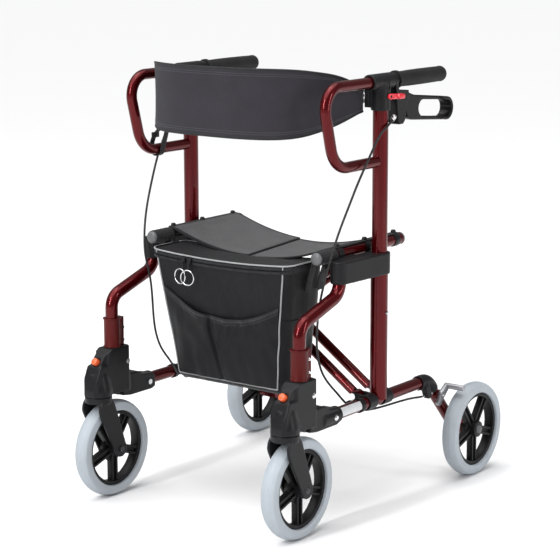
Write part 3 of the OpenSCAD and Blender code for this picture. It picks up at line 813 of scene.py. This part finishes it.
seatWidth = 2 * (seatRail["x"] + 0.004)
seatDepth = seat["rear"] - seat["front"]
sling = sheetPiece("seatSling", 96, 40, (seatWidth, seatDepth), slingPoint)
thicken(sling, seat["thickness"], edge=0.0004)
finishPiece(sling, "seat_sling_mesh", seatMesh, angle=50)
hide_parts("seat_sling")
slingTrim = []
for name, v in (("front", 0.0), ("rear", 1.0)):
    inward = 1 if v == 0.0 else -1
    line = [slingPoint(i / 60, v) for i in range(61)]
    hem = pipe(f"seat_{name}_binding", line, 0.0022, 8, detail=3)
    addTo(slingTrim, hem, f"seat_{name}_binding", webbing)
    for row, inset in (("outer", 0.009), ("inner", 0.013)):
        points = [slingPoint(i / 80, v + inward * inset / seatDepth, 0.0011) for i in range(81)]
        stitches = stitchRow(f"seat_{name}_{row}_stitching", points, (0, 0, 1))
        addTo(slingTrim, stitches, f"seat_{name}_{row}_stitching", threadBlack)


def lapPoint(u, v, lift=0.0):  # the upper panel ends in a bound edge near the middle
    edge = seat["lapFront"] + (seat["lapRear"] - seat["lapFront"]) * v
    x = -seatWidth / 2 + (edge + seatWidth / 2) * u
    return slingPoint(x / seatWidth + 0.5, v, seat["lap"] * min(1.0, 12 * u) + lift)


upperSling = sheetPiece("upperSling", 60, 40, (seatWidth / 2, seatDepth), lapPoint)
thicken(upperSling, seat["thickness"], edge=0.0004)
addTo(slingTrim, upperSling, "seat_sling_upper_panel", seatMesh, 50)
hem = pipe("seat_lap_binding", [lapPoint(1.0, i / 40) for i in range(41)], 0.0024, 8, detail=3)
addTo(slingTrim, hem, "seat_lap_binding", webbing)
for name, v in (("front", 0.0), ("rear", 1.0)):
    line = [lapPoint(i / 40, v) for i in range(41)]
    hem = pipe(f"seat_upper_{name}_binding", line, 0.0022, 8, detail=3)
    addTo(slingTrim, hem, f"seat_upper_{name}_binding", webbing)
for row, u in (("outer", 0.11), ("inner", 0.135), ("lap", 0.955)):
    points = [lapPoint(u, i / 60, 0.001) for i in range(61)]
    stitches = stitchRow(f"seat_panel_{row}_stitching", points, (0, 0, 1))
    addTo(slingTrim, stitches, f"seat_panel_{row}_stitching", threadBlack)
for piece in [sling] + slingTrim:
    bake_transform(piece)

railTrim = {"bindingWidth": 0.013, "sleeveFront": -0.176, "sleeveRear": -0.122}
for body, sign in (("brace_b", 1), ("brace_a", -1)):
    x, z, r = sign * seatRail["x"], seatRail["z"], seatRail["r"]
    low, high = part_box("brace_a")
    # woven binding that holds the sling's edge along the top of the rail
    binding = block(
        "binding",
        (x - railTrim["bindingWidth"] / 2, seat["front"], z + r),
        (x + railTrim["bindingWidth"] / 2, seat["rear"], z + r + 0.0032),
        0.0012,
    )
    finishPiece(binding, f"{body}_rail_binding", webbing, body)
    front, back = railTrim["sleeveFront"], railTrim["sleeveRear"]
    outline = [(r + 0.0003, front), (r + 0.0016, front)]
    for i in range(1, 12):  # the webbing lies in slight ripples
        outline.append((r + 0.0018 + 0.0003 * math.sin(i * 2.1), front + (back - front) * i / 12))
    outline += [(r + 0.0016, back), (r + 0.0003, back), (r + 0.0003, front)]
    wrap = turned("wrap", outline, (x, 0, z), (0, 1, 0), 40)
    finishPiece(wrap, f"{body}_rail_sleeve", webbing, body, 60)
    for index, y in enumerate(seat["clips"]):
        clip = turned(
            "clip",
            [(r + 0.0002, -0.009), (r + 0.0012, -0.009), (r + 0.0017, -0.007), (r + 0.0017, 0.007),
             (r + 0.0012, 0.009), (r + 0.0002, 0.009), (r + 0.0002, -0.009)],
            (x, y, z), (0, 1, 0), 40,
        )
        knob = turned(
            "knob",
            [(0.0001, 0.0062), (0.0035, 0.006), (0.0052, 0.004), (0.0055, 0), (0.0055, -0.003)],
            (x, y, z + r + 0.0026), (0, 0, 1), 24,
        )
        clip = join([clip, knob], "clip")
        finishPiece(clip, f"{body}_seat_clip_{index + 1}", satinBlack, body, 50)
    for end, y, turn in (("front", low.y, -1), ("rear", high.y, 1)):
        cap = turned(
            "cap",
            [(0.0001, 0.0042), (0.006, 0.0036), (0.0104, 0.0022), (r + 0.0005, 0.0),
             (r + 0.0005, -0.004), (0.0103, -0.004), (0.0103, -0.012), (0.0001, -0.012)],
            (x, y - turn * 0.0004, z), (0, turn, 0), 40,
        )
        finishPiece(cap, f"{body}_rail_{end}_cap", capGrey, body, 50)
print("seat made")

# Storage bag

bag = {
    "topZ": 0.5155,
    "dip": 0.008,
    "bottomZ": 0.2445,
    "topHalf": 0.1745,
    "bottomHalf": 0.139,
    "topFront": -0.2185,
    "bottomFront": -0.190,
    "rear": -0.1045,
    "corner": 0.020,
    "piping": 0.0017,
    "pipingInset": 0.013,  # share of the way round
    "seatClearance": 0.0044,
    "bulge": 0.006,
    "wrinkle": 0.0042,
    "curl": 0.016,  # radius of the rounded bottom edge
    "hemMiddle": 0.389,
    "hemSide": 0.442,
}


def bagShare(z):  # 0 at the bottom, 1 at the top
    return (z - bag["bottomZ"]) / (bag["topZ"] - bag["bottomZ"])


def bagHalf(z):
    share = bagShare(z)
    widening = 0.72 * share + 0.28 * share**2
    return bag["bottomHalf"] + (bag["topHalf"] - bag["bottomHalf"]) * widening


def bagFront(z):
    return bag["bottomFront"] + (bag["topFront"] - bag["bottomFront"]) * bagShare(z)


# Plan outline at height z: starts at the middle of the rear and runs round anticlockwise
def planPoint(z, share):
    half, front, rear, r = bagHalf(z), bagFront(z), bag["rear"], bag["corner"]
    runs = [
        ("line", half - r), ("arc", r * math.pi / 2), ("line", rear - front - 2 * r),
        ("arc", r * math.pi / 2), ("line", 2 * (half - r)), ("arc", r * math.pi / 2),
        ("line", rear - front - 2 * r), ("arc", r * math.pi / 2), ("line", half - r),
    ]
    total = sum(run for kind, run in runs)
    rest, position, heading = share * total, Vector((0.0, rear)), 0.0
    for kind, run in runs:
        step = min(rest, run)
        if kind == "line":
            position = position + Vector((math.cos(heading), math.sin(heading))) * step
        else:
            centre = position + Vector((math.sin(heading), -math.cos(heading))) * r
            turn = step / r
            position = centre + Vector((-math.sin(heading - turn), math.cos(heading - turn))) * r
            heading -= turn
        rest -= step
        if rest <= 1e-9:
            break
    return position, Vector((-math.sin(heading), math.cos(heading)))


def bagFolds(x, y, z, share):
    upper = ease((z - 0.36) / 0.10)
    soft = noise.noise(Vector((x * 17, y * 17, z * 5)))
    fine = noise.noise(Vector((x * 45 + 3, y * 45, z * 13 + z * x * 60)))
    return bag["wrinkle"] * (soft * (0.6 + 0.7 * upper) + 0.8 * fine)


def bagPoint(u, v, lift=0.0):
    curl = bag["curl"]
    if v < 0.14:
        angle = (1 - v / 0.14) * math.pi / 2
        z = bag["bottomZ"] + curl - curl * math.sin(angle)
        inset = curl * (1 - math.cos(angle))
    else:
        z = bag["bottomZ"] + curl + (bag["topZ"] - bag["bottomZ"] - curl) * (v - 0.14) / 0.86
        inset = 0.0
    plan, normal = planPoint(z, u)
    side = abs(plan.x) / bagHalf(z)
    out = -inset + lift
    if plan.y < -0.15:
        swell = math.sin(math.pi * min(1, bagShare(z) * 1.02))
        out += bag["bulge"] * (1 - min(1, side) ** 4) * swell * 0.9
    elif side > 0.97:
        out += 0.004 * math.sin(math.pi * bagShare(z))
    out += bagFolds(plan.x, plan.y, z, u) * math.sin(math.pi * min(1, max(0, bagShare(z)))) ** 0.4
    z -= bag["dip"] * (1 - min(1, side) ** 2) * ease((v - 0.6) / 0.4)
    return Vector((plan.x + normal.x * out, plan.y + normal.y * out, z))


def lidHeight(x, y):  # flat behind the piping, then dipping under the sagging seat
    side = min(1.0, abs(x) / bagHalf(bag["topZ"]))
    flat = bag["topZ"] - 0.0035 - bag["dip"] * (1 - side**2)
    under = slingHeight(x) - bag["seatClearance"]
    drop = ease((y - (bag["topFront"] + 0.088)) / 0.010)
    return flat + (min(flat, under) - flat) * drop


def seatClear(point):  # the rear part of the top edge passes under the sling
    if point.y > bag["topFront"] + 0.086:
        point.z = min(point.z, lidHeight(point.x, point.y) + 0.0015)
    return point


body = sheetPiece("bag", 200, 90, (0.9, 0.27), lambda u, v: seatClear(bagPoint(u, v)))
weld(body, 0.0002)
activate(body)
bpy.ops.object.mode_set(mode="EDIT")
bpy.ops.mesh.select_all(action="DESELECT")
bpy.ops.object.mode_set(mode="OBJECT")
floorEdge = bag["bottomZ"] + 0.0012
for edge in body.data.edges:
    a, b = (body.data.vertices[i].co.z for i in edge.vertices)
    edge.select = a < floorEdge and b < floorEdge
bpy.context.tool_settings.mesh_select_mode = (False, True, False)
bpy.ops.object.mode_set(mode="EDIT")
bpy.ops.mesh.edge_face_add()
bpy.ops.object.mode_set(mode="OBJECT")
thicken(body, 0.0016, offset=-1)
finishPiece(body, "bag_body", bagNylon, angle=60)
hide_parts("storage_bag")
bagPieces = [body]


def lidPoint(u, v):
    y0 = bag["topFront"] + 0.002
    y1 = bag["rear"] - 0.003
    y = y0 + (y1 - y0) * v
    edge = 0.003
    half = bagHalf(bag["topZ"]) - edge
    if v < 0.16:  # rounded front corners
        half -= 0.018 * (1 - math.sqrt(max(0, 1 - (1 - v / 0.16) ** 2)))
    x = -half + 2 * half * u
    z = lidHeight(x, y) + 0.0005 * noise.noise(Vector((x * 22, y * 30, 1.7)))
    return Vector((x, y, z))


lid = sheetPiece("bagLid", 110, 50, (0.34, 0.11), lidPoint)
thicken(lid, 0.0016, offset=0)
addTo(bagPieces, lid, "bag_lid_panel", bagNylon)


def rim(start, end, v, lift, count=140):  # a line round the bag at level v
    shares = [start + (end - start) * i / count for i in range(count + 1)]
    return [seatClear(bagPoint(share, v, lift)) for share in shares]


def addTube(name, points, radius, finish, sides=8, closed=False):
    piece = pipe(name, points, radius, sides, closed, detail=2)
    addTo(bagPieces, piece, name, finish)
    return piece


# share of the perimeter where the front panel's piping runs, just inside each front corner
def cornerShare(sign):
    level, found = 0.4, 0.5
    for i in range(400):
        plan, normal = planPoint(level, i / 400)
        if plan.x * sign > 0 and normal.y < 0 and abs(abs(normal.x) - 0.7071) < 0.05:
            found = i / 400
    return found + bag["pipingInset"] * sign


topLine = rim(0.17, 0.83, 0.995, 0.0012)
addTube("bag_top_piping", topLine, bag["piping"], reflectiveGrey)
for name, sign in (("left", 1), ("right", -1)):
    share = cornerShare(sign)
    levels = [0.125 + 0.865 * i / 60 for i in range(61)]
    line = [seatClear(bagPoint(share, v, 0.0010)) for v in levels]
    addTube(f"bag_{name}_piping", line, bag["piping"], reflectiveGrey)
leftShare, rightShare = cornerShare(1), cornerShare(-1)
lowShare, highShare = min(leftShare, rightShare), max(leftShare, rightShare)
addTube(
    "bag_bottom_piping",
    [bagPoint(lowShare + (highShare - lowShare) * i / 80, 0.125, 0.001) for i in range(81)],
    bag["piping"], reflectiveGrey,
)

# zip along the top of the front
zipTape = rim(0.22, 0.78, 0.962, 0.0022, 200)


def ribbon(name, points, width, thickness, finish, turnTo=(0, 0, 1)):
    half = Vector(turnTo).normalized() * width / 2
    count = len(points) - 1
    piece = sheetPiece(
        name, count, 2, (0.5, width),
        lambda u, v: points[round(u * count)] + half * (2 * v - 1),
    )
    thicken(piece, thickness, 0.0, thickness * 0.3)
    finishPiece(piece, name, finish, angle=50)
    return piece


bagPieces.append(ribbon("bag_zip_tape", zipTape, 0.013, 0.0014, webbing))
teethLine = [point + Vector((0, -0.0011, 0)) for point in zipTape]
teeth = stitchRow("bag_zip_teeth", teethLine, (0, -1, 0), 0.0024, 0.0017, 0.0017)
addTo(bagPieces, teeth, "bag_zip_teeth", satinBlack)

for index, x in enumerate((-0.087, -0.071)):
    spot = min(zipTape, key=lambda p: abs(p.x - x) + (0 if p.y < -0.15 else 1))
    low, high = Vector((-0.0045, -0.0062, -0.006)), Vector((0.0045, 0.0, 0.006))
    slider = block("slider", spot + low, spot + high, 0.0015)
    low, high = Vector((-0.0028, -0.0085, -0.020)), Vector((0.0028, -0.0062, -0.002))
    tongue = block("tongue", spot + low, spot + high, 0.0008)
    pull = join([slider, tongue], "pull")
    addTo(bagPieces, pull, f"bag_zip_slider_{index + 1}", satinBlack, 50)
    clearSelection()
    bpy.ops.mesh.primitive_torus_add(
        major_radius=0.0150, minor_radius=0.0013, major_segments=48, minor_segments=10,
        location=spot + Vector((-0.005 + 0.006 * index, -0.0092 - 0.003 * index, -0.032)),
        rotation=(math.radians(90), 0, math.radians(-8 + 16 * index)),
    )
    ring = bpy.context.object
    addTo(bagPieces, ring, f"bag_zip_ring_{index + 1}", chromeSteel)


# front pocket: a gathered panel with a sagging hem
def hemHeight(x):
    share = min(1.0, abs(x - 0.008) / 0.155)
    return bag["hemMiddle"] + (bag["hemSide"] - bag["hemMiddle"]) * share**2.2


def frontSurface(x, z):
    half = bagHalf(z)
    side = min(1.0, abs(x) / half)
    y = bagFront(z)
    out = bag["bulge"] * (1 - side**4) * math.sin(math.pi * min(1, bagShare(z) * 1.02)) * 0.9
    out += bagFolds(x, y, z, 0) * math.sin(math.pi * min(1, max(0, bagShare(z)))) ** 0.4
    corner = bag["corner"]
    beyond = abs(x) - (half - corner)
    if beyond > 0:
        y += corner - math.sqrt(max(0, corner**2 - min(beyond, corner) ** 2))
    return y - out


def pocketPoint(u, v):
    reach = 0.885
    zLow = bag["bottomZ"] + 0.016
    x0 = (2 * u - 1) * reach
    zTop = hemHeight(x0 * bagHalf(0.42))
    z = zLow + (zTop - zLow) * v
    x = x0 * bagHalf(z)
    belly = (1 - abs(x0 / reach) ** 3) * math.sin(math.pi * (0.12 + 0.76 * v)) ** 0.8
    slant = x * 88 + (0.40 - z) * 95 * math.tanh(x * 18)  # gathers fan out from the hem
    pleat = math.sin(slant + 5 * noise.noise(Vector((x * 12, z * 9, 0)))) * ease((v - 0.35) / 0.55)
    ripple = noise.noise(Vector((x * 22, z * 10 + x * 12, 4.2)))
    divider = math.exp(-(((x + 0.012 + 0.16 * (z - 0.30)) / 0.0045) ** 2))
    out = 0.0018 + 0.011 * belly + 0.0026 * pleat * (1 - abs(x0) ** 4) + 0.0038 * ripple * belly
    out -= 0.0075 * divider * belly
    return Vector((x, frontSurface(x, z) - out, z))


pocket = sheetPiece("pocket", 170, 70, (0.32, 0.17), pocketPoint)
thicken(pocket, 0.0014, offset=0)
addTo(bagPieces, pocket, "bag_front_pocket", bagNylon)
hemLine = [pocketPoint(i / 120, 1.0) + Vector((0, -0.0008, -0.0035)) for i in range(121)]
hem = ribbon("bag_pocket_hem", hemLine, 0.010, 0.0022, webbing)
bagPieces.append(hem)
for row, drop in (("upper", 0.0), ("lower", -0.0068)):
    points = [p + Vector((0, -0.0014, drop)) for p in hemLine]
    stitches = stitchRow(f"bag_hem_{row}_stitching", points, (0, -1, 0), 0.0042, 0.003, 0.0004)
    addTo(bagPieces, stitches, f"bag_hem_{row}_stitching", threadGrey)
for name, start, end in (("left", 0.17, lowShare), ("right", highShare, 0.83)):  # side seams
    seam = rim(start, end, 0.61, 0.0006, 40)
    addTube(f"bag_{name}_side_seam", seam, 0.0012, bagNylon)
print("bag made")

# straps that hang the bag from the seat rails
for name, sign in (("left", 1), ("right", -1)):
    railX = sign * 0.196
    for index, y in enumerate((-0.166, -0.128)):
        line = []
        for i in range(13):
            t = i / 12
            line.append(
                Vector((
                    railX - sign * 0.024 * ease(t),
                    y + 0.012 * t,
                    0.533 - 0.080 * t,
                ))
            )
        title = f"bag_{name}_strap_{index + 1}"
        strap = ribbon(title, line, 0.018, 0.0022, webbing, (0, 1, 0))
        bagPieces.append(strap)
for piece in bagPieces:
    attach(piece, "left_frame")
    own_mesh(piece)
print("bag hung")

# Backrest band

band = {
    "x": 0.2115,
    "rootY": -0.030,
    "frontY": -0.2505,
    "middle": 0.823,
    "thickness": 0.0034,
    "power": 2 / 3,
}


def bandPlan(angle, inset=0.0):
    c, s = math.cos(angle), max(0.0, math.sin(angle))
    x = (band["x"] - inset) * math.copysign(abs(c) ** band["power"], c)
    y = band["rootY"] + (band["frontY"] + inset - band["rootY"]) * s ** band["power"]
    return x, y


bandStops = [  # place in depth, top edge and bottom edge from the middle height
    (-0.028, 0.021, -0.023),
    (-0.110, 0.049, -0.043),
    (-0.208, 0.0655, -0.0655),
    (-0.26, 0.0655, -0.0655),
]


def bandCorner(y, index):
    for (y0, *a), (y1, *b) in zip(bandStops, bandStops[1:]):
        if y >= y1 or y1 == -0.26:
            t = min(1, max(0, (y0 - y) / (y0 - y1)))
            return a[index] + (b[index] - a[index]) * t
    return a[index]


def bandEdge(y, index):  # the straight cuts run softly into each other
    return sum(bandCorner(y + 0.005 * step, index) for step in range(-6, 7)) / 13


def bandPath():  # equal steps along the band
    raw = [bandPlan(math.pi * i / 1200) for i in range(1201)]
    lengths = [0.0]
    for a, b in zip(raw, raw[1:]):
        lengths.append(lengths[-1] + math.dist(a, b))
    total, path, j = lengths[-1], [], 0
    for i in range(241):
        goal = total * i / 240
        while j < 1199 and lengths[j + 1] < goal:
            j += 1
        t = (goal - lengths[j]) / max(1e-9, lengths[j + 1] - lengths[j])
        a, b = raw[j], raw[j + 1]
        path.append((a[0] + (b[0] - a[0]) * t, a[1] + (b[1] - a[1]) * t))
    return path, total


bandRoute, bandLength = bandPath()


def bandPoint(u, v, lift=0.0, soft=True):
    i = round(u * 240)
    x, y = bandRoute[i]
    before, after = bandRoute[max(0, i - 1)], bandRoute[min(240, i + 1)]
    along = Vector((after[0] - before[0], after[1] - before[1])).normalized()
    outward = Vector((along.y, -along.x))
    if outward.dot(Vector((x, y))) < 0:
        outward = -outward
    low, high = bandEdge(y, 1), bandEdge(y, 0)
    z = band["middle"] + low + (high - low) * v
    wave = 0.0
    if soft:
        wave = 0.0016 * noise.noise(Vector((x * 8, y * 8, z * 9))) * math.sin(math.pi * u) ** 0.3
        wave -= 0.0022 * math.sin(math.pi * v) * math.sin(math.pi * u)
    return Vector((x + outward.x * (lift + wave), y + outward.y * (lift + wave), z))


bandSheet = sheetPiece("band", 240, 36, (bandLength, 0.134), bandPoint)
thicken(bandSheet, band["thickness"], edge=0.0008)
finishPiece(bandSheet, "backrest_band_fabric", bandFabric, angle=50)
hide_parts("backrest_band")
bandPieces = [bandSheet]
for name, v, drop in (("top", 1.0, -1), ("bottom", 0.0, 1)):
    line = [bandPoint(i / 240, v) for i in range(0, 241, 2)]
    bound = pipe(f"backrest_{name}_binding", line, 0.0026, 8, detail=2)
    addTo(bandPieces, bound, f"backrest_{name}_binding", webbing)
    for row, inset in (("outer", 0.008), ("inner", 0.012)):
        for face, lift in (("outside", 0.0018), ("inside", -0.0018)):
            height = 0.131
            points, outward = [], []
            for i in range(241):
                share = v + drop * inset / height
                points.append(bandPoint(i / 240, share, lift))
                outward.append(bandPoint(i / 240, share, lift * 2) - points[-1])
            title = f"backrest_{name}_{row}_{face}_stitching"
            stitches = stitchRow(title, points, outward)
            addTo(bandPieces, stitches, title, threadGrey)
for piece in bandPieces:
    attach(piece, "left_handle")
    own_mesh(piece)
for side, sign in sides:  # snaps that hold the band's end
    for index, (y, z) in enumerate(((-0.024, 0.838), (-0.027, 0.828), (-0.024, 0.818))):
        snap = turned(
            "snap",
            [(0.0001, 0.003), (0.0022, 0.0028), (0.0040, 0.0016), (0.0048, 0.0), (0.0048, -0.0012)],
            (sign * (band["x"] - 0.0022), y, z), (-sign, 0, 0), 24,
        )
        title = f"{side}_band_snap_{index + 1}"
        finishPiece(snap, title, chromeSteel, f"{side}_handle", 50)
# webbing strap with a small buckle round the right arm loop
loopStrap = {"x": -0.240, "z": 0.700, "wrap": 0.0145, "y": -0.118, "drop": 0.052, "lean": 0.012}
strapLine = []
for i in range(9):
    rise = 1 - i / 8
    strapLine.append(Vector((
        loopStrap["x"] + loopStrap["wrap"] + 0.006 * rise,
        loopStrap["y"] + loopStrap["lean"] * rise,
        loopStrap["z"] + loopStrap["drop"] * rise,
    )))
for i in range(1, 13):
    angle = math.pi * i / 12
    strapLine.append(Vector((
        loopStrap["x"] + loopStrap["wrap"] * math.cos(angle),
        loopStrap["y"],
        loopStrap["z"] - 0.0135 * math.sin(angle),
    )))
for i in range(1, 9):
    t = i / 8
    strapLine.append(Vector((
        loopStrap["x"] - loopStrap["wrap"] + 0.030 * t**2,
        loopStrap["y"] - 0.006 * t,
        loopStrap["z"] + 0.046 * t,
    )))
strap = ribbon("right_loop_strap", strapLine, 0.014, 0.0018, webbing, (0, 1, 0))
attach(strap, "right_handle")
buckle = block("buckle", (-0.2475, -0.128, 0.7235), (-0.2395, -0.111, 0.7345), 0.0015)
finishPiece(buckle, "right_loop_buckle", satinBlack, "right_handle")
print("backrest made")

# Stage, light and camera

stage = {"floorSize": 90.0, "worldLight": 0.30, "skyStrength": 2.7, "skySoftness": 70}
clearSelection()
bpy.ops.mesh.primitive_plane_add(size=stage["floorSize"])
floor = bpy.context.object
floor.name = "floor"
floorPaint = hardMaterial(
    "floorPaint", (0.86, 0.86, 0.865), (0.84, 0.84, 0.845), 0.2, 1.5, 40, 0.8, 0.05, 0.02,
    {"Specular IOR Level": 0.0},
)
floor.data.materials.append(floorPaint)

world = bpy.data.worlds.new("studio") if not bpy.data.worlds else bpy.data.worlds[0]
bpy.context.scene.world = world
world.use_nodes = True
world.node_tree.nodes["Background"].inputs[0].default_value = (1.0, 1.0, 1.0, 1)
world.node_tree.nodes["Background"].inputs[1].default_value = stage["worldLight"]


def addLight(name, place, target, size, power):
    data = bpy.data.lights.new(name, "AREA")
    data.shape = "RECTANGLE"
    data.size, data.size_y = size
    data.energy = power
    light = bpy.data.objects.new(name, data)
    bpy.context.scene.collection.objects.link(light)
    light.location = place
    light.rotation_euler = (Vector(target) - Vector(place)).to_track_quat("-Z", "Y").to_euler()


skyData = bpy.data.lights.new("skyLight", "SUN")  # one even soft light over the whole floor
skyData.energy = stage["skyStrength"]
skyData.angle = math.radians(stage["skySoftness"])
sky = bpy.data.objects.new("skyLight", skyData)
bpy.context.scene.collection.objects.link(sky)
sky.rotation_euler = (math.radians(18), math.radians(-12), 0)
addLight("keyLight", (-0.3, -4.0, 2.4), (0, 0, 0.5), (0.32, 2.6), 110)
addLight("fillLight", (4.0, 0.6, 1.7), (0, 0, 0.5), (0.5, 2.4), 50)
addLight("topLight", (0.2, 0.3, 3.6), (0, 0, 0.4), (2.6, 2.6), 40)
bpy.context.scene.view_settings.view_transform = "Standard"

view = {
    "place": (2.26667, -3.04902, 1.19352),
    "azimuth": 36.782,
    "down": 11.327,
    "roll": -0.134,
    "lens": 120.48,
}
cameraData = bpy.data.cameras.new("camera")
cameraData.lens = view["lens"]
cameraData.sensor_width = 36
camera = bpy.data.objects.new("camera", cameraData)
bpy.context.scene.collection.objects.link(camera)
camera.matrix_world = (
    Matrix.Translation(view["place"])
    @ Matrix.Rotation(math.radians(view["azimuth"]), 4, "Z")
    @ Matrix.Rotation(math.radians(90 - view["down"]), 4, "X")
    @ Matrix.Rotation(math.radians(view["roll"]), 4, "Z")
)
bpy.context.scene.camera = camera
